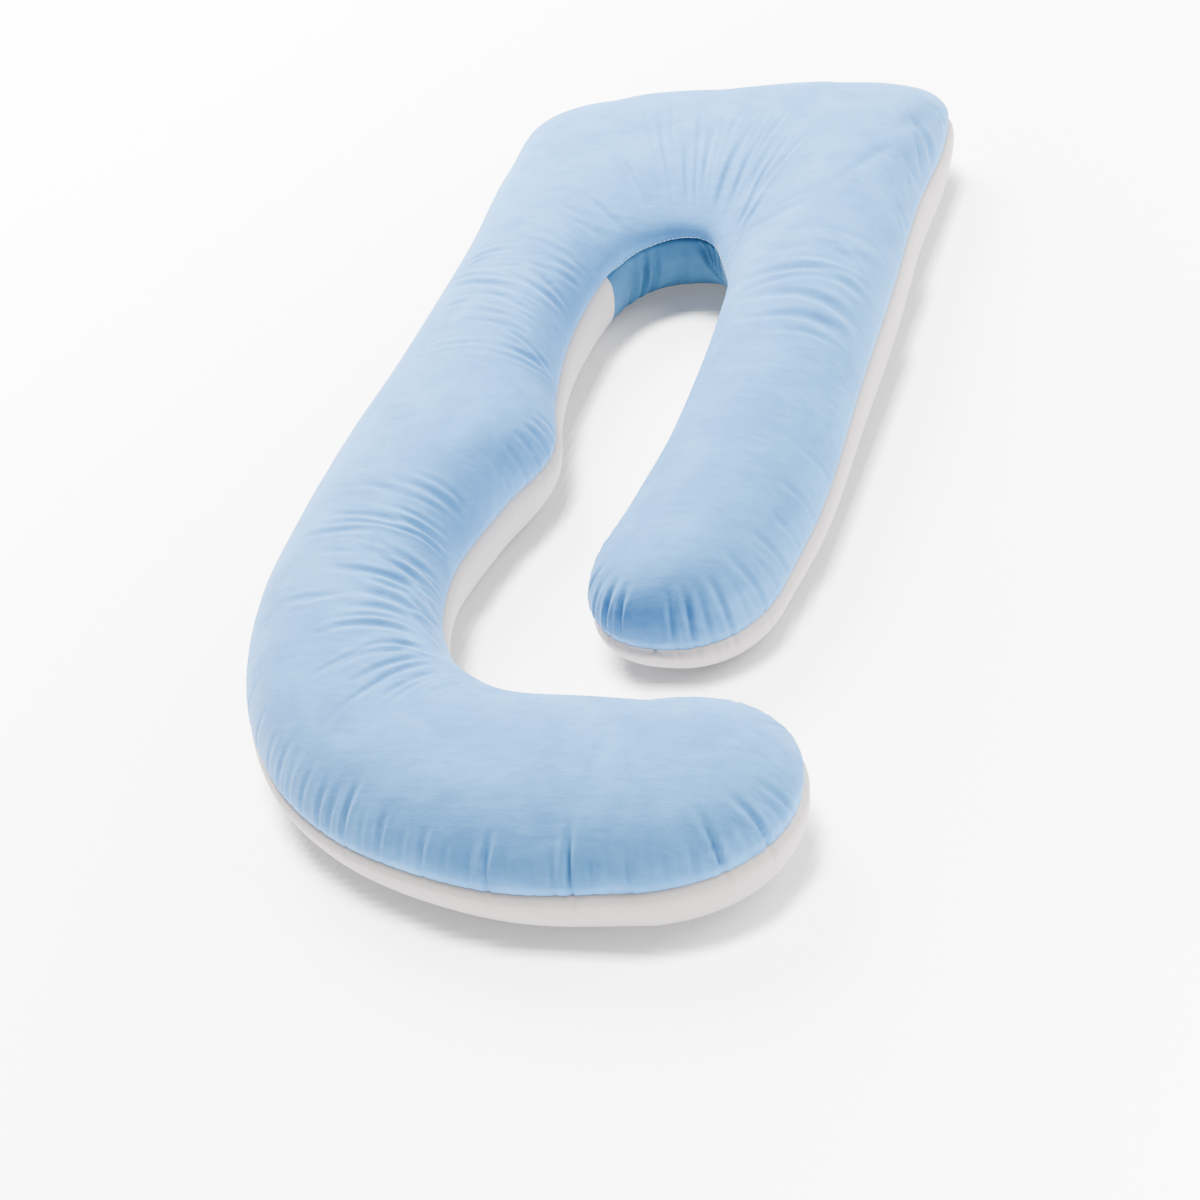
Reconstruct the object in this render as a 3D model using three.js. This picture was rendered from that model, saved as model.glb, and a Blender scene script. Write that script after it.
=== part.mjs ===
import * as THREE from 'three';

// Full-body pregnancy pillow lying on its back.
// Millimetres, +Z up, the head end towards +Y and the short leg towards +X.
// A place along the pillow is counted in cross-sections from the hook's end; places before the
// first and after the last section lie on the rounded ends. A place across the upper half is 0
// at the outer sewn edge, 0.5 on the crown and 1 at the inner sewn edge.

// Clear space between neighbouring cut pieces.
const GAP = 0.3;
// How far the sewn edge is drawn in from the full width.
const SEAM_DRAW = 2.5;
// Roundness of the upper and lower halves of a cross-section (2 is an ellipse).
const UPPER_POWER = 2.15;
const LOWER_WIDTH_POWER = 2.6;
const LOWER_DEPTH_POWER = 2.3;
// How far the lower half is pressed flat by its own weight (1 is not at all).
const SAG = 1.12;
// Roundness of the two ends, how fast they drop, and their reach against half the leg's width.
const END_POWER = 2.2;
const END_DROP_POWER = 0.9;
const HOOK_END_REACH = 1.17;
const SHORT_END_REACH = 1.1;
// How far below the sewn edge a dent in it still shows, as a sine of the turn.
const LOWER_DENT_REACH = 0.7;

// Fineness of the surface.
const STEPS_PER_SECTION = 8;
const END_STEPS = 9;
const UPPER_STEPS = 18;
const LOWER_STEPS = 10;
// Step used to measure the surface's slope, in places.
const PROBE = 0.02;

// The blue lower piece in the crook: where it starts and ends along the pillow,
// and how many lower steps in from the inner edge it reaches.
const CROOK_START = 11.4;
const CROOK_END = 17.5;
const CROOK_STEPS = 4;

// Cross-sections from the hook's end round to the short leg's end:
// the inner and the outer sewn edge on the plan.
const SECTIONS = [
  { inX: 174, inY: -485, outX: 235, outY: -765 },
  { inX: 113, inY: -478, outX: 96, outY: -771 },
  { inX: 6, inY: -470, outX: -29, outY: -742 },
  { inX: -65, inY: -431, outX: -143, outY: -690 },
  { inX: -99, inY: -390, outX: -239, outY: -610 },
  { inX: -127, inY: -329, outX: -313, outY: -495 },
  { inX: -141, inY: -236, outX: -355, outY: -356 },
  { inX: -122, inY: -122, outX: -368, outY: -196 },
  { inX: -94, inY: -16, outX: -370, outY: -38 },
  { inX: -122, inY: 91, outX: -357, outY: 102 },
  { inX: -138, inY: 197, outX: -347, outY: 243 },
  { inX: -134, inY: 307, outX: -342, outY: 391 },
  { inX: -113, inY: 373, outX: -347, outY: 552 },
  { inX: -75, inY: 398, outX: -332, outY: 686 },
  { inX: -34, inY: 402, outX: -235, outY: 743 },
  { inX: -1, inY: 390, outX: -62, outY: 758 },
  { inX: 20, inY: 358, outX: 93, outY: 773 },
  { inX: 35, inY: 321, outX: 219, outY: 747 },
  { inX: 43, inY: 278, outX: 248, outY: 649 },
  { inX: 53, inY: 212, outX: 249, outY: 491 },
  { inX: 61, inY: 95, outX: 262, outY: 287 },
  { inX: 58, inY: -38, outX: 265, outY: 102 },
  { inX: 40, inY: -132, outX: 268, outY: -93 },
  { inX: 20, inY: -213, outX: 250, outY: -234 },
];

// Height of the sewn edge and of the crown at even places along the pillow.
const HEIGHTS = [
  { seam: 85, crown: 147 },
  { seam: 77, crown: 153 },
  { seam: 80, crown: 172 },
  { seam: 80, crown: 164 },
  { seam: 99, crown: 163 },
  { seam: 113, crown: 166 },
  { seam: 84, crown: 166 },
  { seam: 94, crown: 169 },
  { seam: 55, crown: 141 },
];

// Main folds of the velvet: from one place along and across to another, how far the middle
// bows along the pillow, and the depth and width of the dent.
const FOLDS = [
  // Bend of the hook.
  { from: 3.03, fromAcross: 0.47, to: 2.68, toAcross: 0.77, bow: 0.03, depth: 5, width: 10 },
  { from: 3.62, fromAcross: 0.45, to: 3.12, toAcross: 0.78, bow: 0.05, depth: 5, width: 10 },
  { from: 4.06, fromAcross: 0.52, to: 3.3, toAcross: 0.8, bow: 0.08, depth: 5, width: 10 },
  { from: 4.65, fromAcross: 0.43, to: 3.8, toAcross: 0.8, bow: 0.12, depth: 6, width: 10 },
  { from: 5.22, fromAcross: 0.5, to: 4.45, toAcross: 0.85, bow: -0.03, depth: 5, width: 10 },
  { from: 5.62, fromAcross: 0.45, to: 5.0, toAcross: 0.83, bow: -0.06, depth: 8, width: 11 },
  { from: 5.78, fromAcross: 0.62, to: 5.36, toAcross: 0.95, bow: -0.1, depth: 5, width: 11 },
  { from: 6.55, fromAcross: 0.38, to: 6.0, toAcross: 0.72, bow: -0.05, depth: 7, width: 10 },
  { from: 6.24, fromAcross: 0.6, to: 5.97, toAcross: 0.95, bow: -0.06, depth: 6, width: 10 },
  { from: 6.86, fromAcross: 0.42, to: 6.42, toAcross: 0.9, bow: -0.04, depth: 4, width: 11 },
  // Upper part of the long leg.
  { from: 9.48, fromAcross: 0.52, to: 9.25, toAcross: 0.86, bow: -0.03, depth: 5, width: 12 },
  { from: 10.05, fromAcross: 0.24, to: 10.07, toAcross: 0.7, bow: 0.02, depth: 6, width: 12 },
  { from: 10.3, fromAcross: 0.5, to: 10.2, toAcross: 0.9, bow: -0.02, depth: 5, width: 11 },
  { from: 10.45, fromAcross: 0.26, to: 10.72, toAcross: 0.58, bow: 0.0, depth: 4, width: 11 },
  { from: 12.02, fromAcross: 0.55, to: 12.18, toAcross: 0.85, bow: -0.03, depth: 4, width: 14 },
  // Fan above the crook.
  { from: 13.36, fromAcross: 0.48, to: 13.08, toAcross: 0.82, bow: 0.03, depth: 4, width: 11 },
  { from: 14.36, fromAcross: 0.38, to: 13.9, toAcross: 0.82, bow: 0.06, depth: 7, width: 10 },
  { from: 14.58, fromAcross: 0.5, to: 14.36, toAcross: 0.8, bow: 0.03, depth: 5, width: 9 },
  { from: 14.97, fromAcross: 0.45, to: 14.8, toAcross: 0.76, bow: 0.02, depth: 5, width: 9 },
  { from: 15.55, fromAcross: 0.43, to: 15.24, toAcross: 0.84, bow: 0.04, depth: 10, width: 11 },
  { from: 15.78, fromAcross: 0.48, to: 15.78, toAcross: 0.76, bow: -0.02, depth: 4, width: 9 },
  { from: 16.4, fromAcross: 0.56, to: 16.44, toAcross: 0.82, bow: 0.0, depth: 5, width: 9 },
  // Sweeps down the short leg and at its shoulder.
  { from: 18.8, fromAcross: 0.5, to: 17.0, toAcross: 0.79, bow: 0.15, depth: 5, width: 12 },
  { from: 20.2, fromAcross: 0.2, to: 18.7, toAcross: 0.73, bow: 0.2, depth: 6, width: 10 },
  { from: 20.5, fromAcross: 0.1, to: 19.8, toAcross: 0.52, bow: 0.12, depth: 4, width: 10 },
  { from: 18.5, fromAcross: -0.03, to: 17.5, toAcross: 0.3, bow: 0.3, depth: 6, width: 11 },
  { from: 17.78, fromAcross: -0.05, to: 17.55, toAcross: 0.17, bow: 0.05, depth: 5, width: 9 },
];

// Puckers along the sewn edge: where, on which edge, how far up they reach, depth and width.
const PUCKERS = [
  { at: -0.75, edge: 0, reach: 0.3, depth: 3, width: 9 },
  { at: -0.45, edge: 0, reach: 0.3, depth: 4, width: 9 },
  { at: -0.15, edge: 0, reach: 0.3, depth: 4, width: 9 },
  { at: 0.5, edge: 0, reach: 0.3, depth: 5, width: 9 },
  { at: 0.95, edge: 0, reach: 0.2, depth: 2, width: 10 },
  { at: 1.45, edge: 0, reach: 0.24, depth: 4, width: 9 },
  { at: 1.85, edge: 0, reach: 0.2, depth: 3, width: 9 },
  { at: 2.32, edge: 0, reach: 0.26, depth: 5, width: 9 },
  { at: 2.75, edge: 0, reach: 0.2, depth: 6, width: 9 },
  { at: 3.18, edge: 0, reach: 0.2, depth: 4, width: 9 },
  { at: 3.55, edge: 0, reach: 0.2, depth: 4, width: 9 },
  { at: 3.95, edge: 0, reach: 0.2, depth: 4, width: 9 },
  { at: 7.4, edge: 1, reach: 0.14, depth: 3, width: 9 },
  { at: 7.85, edge: 1, reach: 0.16, depth: 4, width: 9 },
  { at: 8.25, edge: 1, reach: 0.14, depth: 3, width: 9 },
  { at: 22.7, edge: 0, reach: 0.2, depth: 3, width: 9 },
  { at: 23.1, edge: 0, reach: 0.25, depth: 3, width: 9 },
  { at: 23.45, edge: 0, reach: 0.3, depth: 4, width: 9 },
  { at: 23.75, edge: 0, reach: 0.3, depth: 3, width: 9 },
  { at: 23.45, edge: 1, reach: 0.3, depth: 4, width: 9 },
  { at: 23.1, edge: 1, reach: 0.25, depth: 3, width: 9 },
];

const LAST = SECTIONS.length - 1;
// A dent further away than this many widths is not felt.
const DENT_RANGE = 4;
// Part of a fold's length over which it fades in and out at each end.
const FOLD_FADE = 0.3;

// Smooth curve through evenly spaced values, as a function of the place along them.
function curveThrough(values) {
  return (place) => {
    const index = Math.min(Math.max(Math.floor(place), 0), values.length - 2);
    const t = place - index;
    const b = values[index];
    const c = values[index + 1];
    const a = index > 0 ? values[index - 1] : 2 * b - c;
    const d = index + 2 < values.length ? values[index + 2] : 2 * c - b;
    const cubic = (3 * (b - c) + d - a) * t;
    const square = 2 * a - 5 * b + 4 * c - d;
    return b + 0.5 * t * (c - a + t * (square + cubic));
  };
}

const curves = {
  inX: curveThrough(SECTIONS.map((row) => row.inX)),
  inY: curveThrough(SECTIONS.map((row) => row.inY)),
  outX: curveThrough(SECTIONS.map((row) => row.outX)),
  outY: curveThrough(SECTIONS.map((row) => row.outY)),
  seam: curveThrough(HEIGHTS.map((row) => row.seam)),
  crown: curveThrough(HEIGHTS.map((row) => row.crown)),
};

// The cross-section at a place between the first and the last section.
function mainSection(place) {
  const heightPlace = (place / LAST) * (HEIGHTS.length - 1);
  const inner = new THREE.Vector2(curves.inX(place), curves.inY(place));
  const outer = new THREE.Vector2(curves.outX(place), curves.outY(place));
  return {
    middle: inner.clone().add(outer).multiplyScalar(0.5),
    half: outer.clone().sub(inner).multiplyScalar(0.5),
    seam: curves.seam(heightPlace),
    crown: curves.crown(heightPlace),
    depth: curves.seam(heightPlace),
  };
}

// The cross-section part way (0 to 1) round an end: narrower, lower and further out.
function endSection(base, inside, part, reach) {
  const angle = (part * Math.PI) / 2;
  const forward = new THREE.Vector2(-base.half.y, base.half.x).normalize();
  if (forward.dot(base.middle.clone().sub(inside.middle)) < 0) {
    forward.negate();
  }
  const shrink = Math.max(Math.cos(angle), 0) ** (2 / END_POWER);
  const travel = base.half.length() * reach * Math.sin(angle) ** (2 / END_POWER);
  const drop = shrink ** END_DROP_POWER;
  return {
    middle: base.middle.clone().addScaledVector(forward, travel),
    half: base.half.clone().multiplyScalar(shrink),
    seam: base.seam,
    crown: base.seam + (base.crown - base.seam) * drop,
    depth: base.seam * drop,
  };
}

const firstSection = mainSection(0);
const secondSection = mainSection(1);
const lastSection = mainSection(LAST);
const lastButOne = mainSection(LAST - 1);

function sectionAt(place) {
  if (place < 0) {
    return endSection(firstSection, secondSection, Math.min(-place, 1), HOOK_END_REACH);
  }
  if (place > LAST) {
    return endSection(lastSection, lastButOne, Math.min(place - LAST, 1), SHORT_END_REACH);
  }
  return mainSection(place);
}

// A point on the smooth section: turn 0 is the outer edge, 90 the crown, 180 the inner edge,
// 270 underneath.
function smoothPoint(section, turn) {
  const cos = Math.cos(turn);
  const sin = Math.sin(turn);
  const widthPower = sin >= 0 ? UPPER_POWER : LOWER_WIDTH_POWER;
  const across = Math.sign(cos) * Math.abs(cos) ** (2 / widthPower);
  const plan = section.middle.clone().addScaledVector(section.half, across);
  let height;
  if (sin >= 0) {
    height = section.seam + (section.crown - section.seam) * sin ** (2 / UPPER_POWER);
  } else {
    const drop = SAG * section.depth * (-sin) ** (2 / LOWER_DEPTH_POWER);
    height = Math.max(section.seam - drop, 0);
  }
  return new THREE.Vector3(plan.x, plan.y, height);
}

// A point on the smooth upper half, by its places along and across.
function upperPoint(place, across) {
  const turn = Math.min(Math.max(across, 0), 1) * Math.PI;
  return smoothPoint(sectionAt(place), turn);
}

// How the upper half runs at a point: the directions along and across, and outwards.
function frameAt(place, across) {
  const low = Math.max(across - PROBE, 0);
  const high = Math.min(across + PROBE, 1);
  const from = Math.max(place - PROBE, -1);
  const to = Math.min(place + PROBE, LAST + 1);
  const along = upperPoint(to, across).sub(upperPoint(from, across)).divideScalar(to - from);
  const around = upperPoint(place, high).sub(upperPoint(place, low)).divideScalar(high - low);
  const outward = around.clone().cross(along).normalize();
  if (outward.z < 0) {
    outward.negate();
  }
  return { along: along.length(), around: around.length(), outward };
}

function fade(value) {
  const t = Math.min(Math.max(value, 0), 1);
  return t * t * (3 - 2 * t);
}

// A dent with raised shoulders; distance in dent widths.
function dentProfile(distance) {
  return (1 - distance * distance) * Math.exp((-distance * distance) / 2);
}

// How deep one fold presses the surface in at a point.
function foldDepth(fold, place, across, frame) {
  const part = (across - fold.fromAcross) / (fold.toAcross - fold.fromAcross);
  if (part < 0 || part > 1) {
    return 0;
  }
  const centre = fold.from + (fold.to - fold.from) * part + fold.bow * 4 * part * (1 - part);
  const slant = (fold.to - fold.from) / (fold.toAcross - fold.fromAcross);
  const lean = Math.hypot(1, (slant * frame.along) / frame.around);
  const distance = ((place - centre) * frame.along) / (lean * fold.width);
  if (Math.abs(distance) > DENT_RANGE) {
    return 0;
  }
  const strength = fade(part / FOLD_FADE) * fade((1 - part) / FOLD_FADE);
  return fold.depth * strength * dentProfile(distance);
}

// How deep one pucker presses the surface in at a point.
function puckerDepth(pucker, place, across, frame) {
  const height = Math.abs(across - pucker.edge) / pucker.reach;
  const distance = ((place - pucker.at) * frame.along) / pucker.width;
  if (height > 1 || Math.abs(distance) > DENT_RANGE) {
    return 0;
  }
  return pucker.depth * fade(1 - height) * dentProfile(distance);
}

function dentAt(place, across, frame) {
  let depth = 0;
  FOLDS.forEach((fold) => {
    depth += foldDepth(fold, place, across, frame);
  });
  PUCKERS.forEach((pucker) => {
    depth += puckerDepth(pucker, place, across, frame);
  });
  return depth;
}

// How far the surface lies inside the smooth section beside a sewn edge.
function edgeDent(place, across, section) {
  const narrow = Math.min(1, section.half.length() / (4 * SEAM_DRAW));
  return (SEAM_DRAW + dentAt(place, across, frameAt(place, across))) * narrow;
}

// The upper half's points at a place, from the outer edge over the crown to the inner edge.
function upperRing(place) {
  const section = sectionAt(place);
  const outward = section.half.clone().normalize();
  const ring = [];
  for (let step = 0; step <= UPPER_STEPS; step += 1) {
    const across = step / UPPER_STEPS;
    const point = smoothPoint(section, across * Math.PI);
    if (step === 0 || step === UPPER_STEPS) {
      const side = step === 0 ? -1 : 1;
      const dent = edgeDent(place, across, section) * side;
      point.x += outward.x * dent;
      point.y += outward.y * dent;
    } else {
      const frame = frameAt(place, across);
      point.addScaledVector(frame.outward, -dentAt(place, across, frame));
    }
    point.z = Math.max(point.z, section.seam) + GAP / 2;
    ring.push(point);
  }
  return ring;
}

// The lower half's points at a place, from the outer edge underneath to the inner edge.
function lowerRing(place) {
  const section = sectionAt(place);
  const outward = section.half.clone().normalize();
  const outerDent = edgeDent(place, 0, section);
  const innerDent = edgeDent(place, 1, section);
  const ring = [];
  for (let step = 0; step <= LOWER_STEPS; step += 1) {
    const turn = 2 * Math.PI - (step / LOWER_STEPS) * Math.PI;
    const point = smoothPoint(section, turn);
    const shown = fade(1 + Math.sin(turn) / LOWER_DENT_REACH);
    const dent = (Math.cos(turn) > 0 ? -outerDent : innerDent) * shown;
    point.x += outward.x * dent;
    point.y += outward.y * dent;
    point.z = Math.min(point.z, section.seam - GAP / 2);
    ring.push(point);
  }
  return ring;
}

// The point on the flat between the halves right above the crook piece's edge underneath.
function dividePoint(place, height) {
  const section = sectionAt(place);
  const turn = 2 * Math.PI - ((LOWER_STEPS - CROOK_STEPS) / LOWER_STEPS) * Math.PI;
  const point = smoothPoint(section, turn);
  point.z = section.seam + height;
  return point;
}

// Points and triangles of one closed body.
class Body {
  constructor() {
    this.positions = [];
    this.index = [];
  }

  add(point) {
    this.positions.push(point.x, point.y, point.z);
    return this.positions.length / 3 - 1;
  }

  ring(points) {
    return points.map((point) => this.add(point));
  }

  // Joins two closed loops that have the same number of points.
  join(first, second) {
    for (let j = 0; j < first.length; j += 1) {
      const next = (j + 1) % first.length;
      this.index.push(first[j], first[next], second[next]);
      this.index.push(first[j], second[next], second[j]);
    }
  }

  // Closes a loop with triangles that all meet at one point.
  fan(point, loop, turned) {
    for (let j = 0; j + 1 < loop.length; j += 1) {
      if (turned) {
        this.index.push(point, loop[j], loop[j + 1]);
      } else {
        this.index.push(point, loop[j + 1], loop[j]);
      }
    }
  }

  volume() {
    const corner = (i) => new THREE.Vector3().fromArray(this.positions, this.index[i] * 3);
    let total = 0;
    for (let i = 0; i < this.index.length; i += 3) {
      total += corner(i).dot(corner(i + 1).cross(corner(i + 2)));
    }
    return total;
  }

  mesh(name, colour, roughness) {
    if (this.volume() < 0) {
      this.index.reverse();
    }
    const geometry = new THREE.BufferGeometry();
    geometry.setAttribute('position', new THREE.Float32BufferAttribute(this.positions, 3));
    geometry.setIndex(this.index);
    geometry.computeVertexNormals();
    const material = new THREE.MeshStandardMaterial({ color: colour, roughness, metalness: 0 });
    const mesh = new THREE.Mesh(geometry, material);
    mesh.name = name;
    return mesh;
  }
}

// Even places along the whole pillow, without its two end points.
function allPlaces() {
  const places = [CROOK_START, CROOK_END];
  for (let step = 1; step < END_STEPS; step += 1) {
    places.push(-step / END_STEPS, LAST + step / END_STEPS);
  }
  for (let step = 0; step <= LAST * STEPS_PER_SECTION; step += 1) {
    const place = step / STEPS_PER_SECTION;
    const apart = Math.min(Math.abs(place - CROOK_START), Math.abs(place - CROOK_END));
    if (apart === 0 || apart > 0.4 / STEPS_PER_SECTION) {
      places.push(place);
    }
  }
  return [...new Set(places)].sort((a, b) => a - b);
}

// The end point of the pillow at the hook (-1) or at the short leg (LAST + 1).
function tipPoint(place, height) {
  const section = sectionAt(place);
  return new THREE.Vector3(section.middle.x, section.middle.y, section.seam + height);
}

function closed(loop) {
  return [...loop, loop[0]];
}

// The upper half: one filled piece from the sewn edge over the crown.
function topPanel(places) {
  const body = new Body();
  const rings = places.map((place) => (
    body.ring([...upperRing(place), dividePoint(place, GAP / 2)])
  ));
  for (let k = 0; k + 1 < rings.length; k += 1) {
    body.join(rings[k], rings[k + 1]);
  }
  body.fan(body.add(tipPoint(-1, GAP / 2)), closed(rings[0]), false);
  body.fan(body.add(tipPoint(LAST + 1, GAP / 2)), closed(rings[rings.length - 1]), true);
  return body;
}

// The lower half: one filled piece, with the inner edge left out where the crook piece sits.
function undersidePanel(places) {
  const body = new Body();
  const rings = places.map((place) => (
    body.ring([...lowerRing(place), dividePoint(place, -GAP / 2)])
  ));
  const kept = LOWER_STEPS - CROOK_STEPS;
  const outerPart = (ring) => [...ring.slice(0, kept + 1), ring[ring.length - 1]];
  const wallEdge = (ring) => ring.slice(kept);
  for (let k = 0; k + 1 < rings.length; k += 1) {
    const inCrook = places[k] >= CROOK_START && places[k + 1] <= CROOK_END;
    if (inCrook) {
      body.join(outerPart(rings[k]), outerPart(rings[k + 1]));
    } else {
      body.join(rings[k], rings[k + 1]);
    }
  }
  const start = rings[places.indexOf(CROOK_START)];
  const end = rings[places.indexOf(CROOK_END)];
  body.fan(start[start.length - 1], wallEdge(start).slice(0, -1), true);
  body.fan(end[end.length - 1], wallEdge(end).slice(0, -1), false);
  body.fan(body.add(tipPoint(-1, -GAP / 2)), closed(rings[0]), false);
  body.fan(body.add(tipPoint(LAST + 1, -GAP / 2)), closed(rings[rings.length - 1]), true);
  return body;
}

// The blue lower piece at the inner edge of the crook, clear of the underside all round.
function crookPanel(places) {
  const startStep = frameAt(CROOK_START, 1).along;
  const endStep = frameAt(CROOK_END, 1).along;
  const inside = places.filter((place) => place > CROOK_START && place < CROOK_END);
  const own = [CROOK_START + GAP / startStep, ...inside, CROOK_END - GAP / endStep];
  const body = new Body();
  const rings = own.map((place) => {
    const inward = sectionAt(place).half.clone().normalize().multiplyScalar(-GAP);
    const points = [...lowerRing(place).slice(LOWER_STEPS - CROOK_STEPS)];
    points.push(dividePoint(place, -GAP / 2));
    [points[0], points[points.length - 1]].forEach((point) => {
      point.x += inward.x;
      point.y += inward.y;
    });
    return body.ring(points);
  });
  for (let k = 0; k + 1 < rings.length; k += 1) {
    body.join(rings[k], rings[k + 1]);
  }
  const first = rings[0];
  const final = rings[rings.length - 1];
  body.fan(first[first.length - 1], first.slice(0, -1), false);
  body.fan(final[final.length - 1], final.slice(0, -1), true);
  return body;
}

const places = allPlaces();
const pillow = new THREE.Group();
pillow.name = 'pregnancy_pillow';
pillow.add(topPanel(places).mesh('top_panel', 0xa9cbea, 0.85));
pillow.add(undersidePanel(places).mesh('underside_panel', 0xf0eeec, 0.9));
pillow.add(crookPanel(places).mesh('crook_panel', 0x9cc3e6, 0.85));

export default pillow;
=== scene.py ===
import math

import bmesh
import bpy
import numpy as np
from mathutils import Matrix, Vector


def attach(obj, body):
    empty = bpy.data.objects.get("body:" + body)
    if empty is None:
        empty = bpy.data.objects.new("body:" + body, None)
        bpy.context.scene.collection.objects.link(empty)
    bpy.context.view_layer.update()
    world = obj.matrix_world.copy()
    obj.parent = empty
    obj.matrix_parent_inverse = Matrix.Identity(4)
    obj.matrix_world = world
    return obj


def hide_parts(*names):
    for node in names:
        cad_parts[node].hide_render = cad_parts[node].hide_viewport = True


# Full-body pregnancy pillow lying on its back, in the row frame: metres, +Z up, the head end
# towards +Y and the short leg towards +X. The tables are in millimetres.
#
# A place along the pillow is counted in cross-sections from the hook's end; places before the
# first and after the last section lie on the rounded ends. A place across the upper half is 0
# at the outer sewn edge, 0.5 on the crown and 1 at the inner sewn edge.

MM = 0.001

# Roundness of the upper and lower halves of a cross-section (2 is an ellipse).
UPPER_POWER = 2.15
LOWER_WIDTH_POWER = 2.6
LOWER_DEPTH_POWER = 2.3
# How far the lower half is pressed flat by its own weight (1 is not at all).
SAG = 1.12
# Roundness of the two ends, how fast they drop, and their reach against half the leg's width.
END_POWER = 2.2
END_DROP_POWER = 0.9
HOOK_END_REACH = 1.17
SHORT_END_REACH = 1.1

# Cross-sections from the hook's end round to the short leg's end:
# inner edge x, inner edge y, outer edge x, outer edge y.
SECTIONS = np.array([
    (174, -485, 235, -765),
    (113, -478, 96, -771),
    (6, -470, -29, -742),
    (-65, -431, -143, -690),
    (-99, -390, -239, -610),
    (-127, -329, -313, -495),
    (-141, -236, -355, -356),
    (-122, -122, -368, -196),
    (-94, -16, -370, -38),
    (-122, 91, -357, 102),
    (-138, 197, -347, 243),
    (-134, 307, -342, 391),
    (-113, 373, -347, 552),
    (-75, 398, -332, 686),
    (-34, 402, -235, 743),
    (-1, 390, -62, 758),
    (20, 358, 93, 773),
    (35, 321, 219, 747),
    (43, 278, 248, 649),
    (53, 212, 249, 491),
    (61, 95, 262, 287),
    (58, -38, 265, 102),
    (40, -132, 268, -93),
    (20, -213, 250, -234),
], float)

# Height of the sewn edge and of the crown at even places along the pillow.
HEIGHTS = np.array([
    (85, 147),
    (77, 153),
    (80, 172),
    (80, 164),
    (99, 163),
    (113, 166),
    (84, 166),
    (94, 169),
    (55, 141),
], float)

LAST = len(SECTIONS) - 1

# The velvet's folds: their depth and width against the table's, and the deepest in mm.
FOLD_GAIN = 0.55
FOLD_NARROWING = 0.62
DEEPEST = 3.2
# A fold tapers off over this part of its length at either end and keeps clear of the sewn edges
# by this part of the way across, and no crease is felt more than so many widths away.
FOLD_TAPER = 0.45
SEAM_CLEAR = 0.1
DENT_REACH = 6
# The finer folds beside the main ones: how far away they lie, in places, and how that changes
# from their start to their end, how much their ends wander and lean, their depth and width
# against the main fold's, and what fixes their places.
ECHO_AWAY = (0.10, 0.17)
ECHO_SPREAD = (1.2, 0.8)
ECHO_SHIFT = 0.08
ECHO_LEAN = 0.3
ECHO_DEPTH = (0.3, 0.7)
ECHO_WIDTH = (0.6, 0.9)
ECHO_SEED = 7
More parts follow.
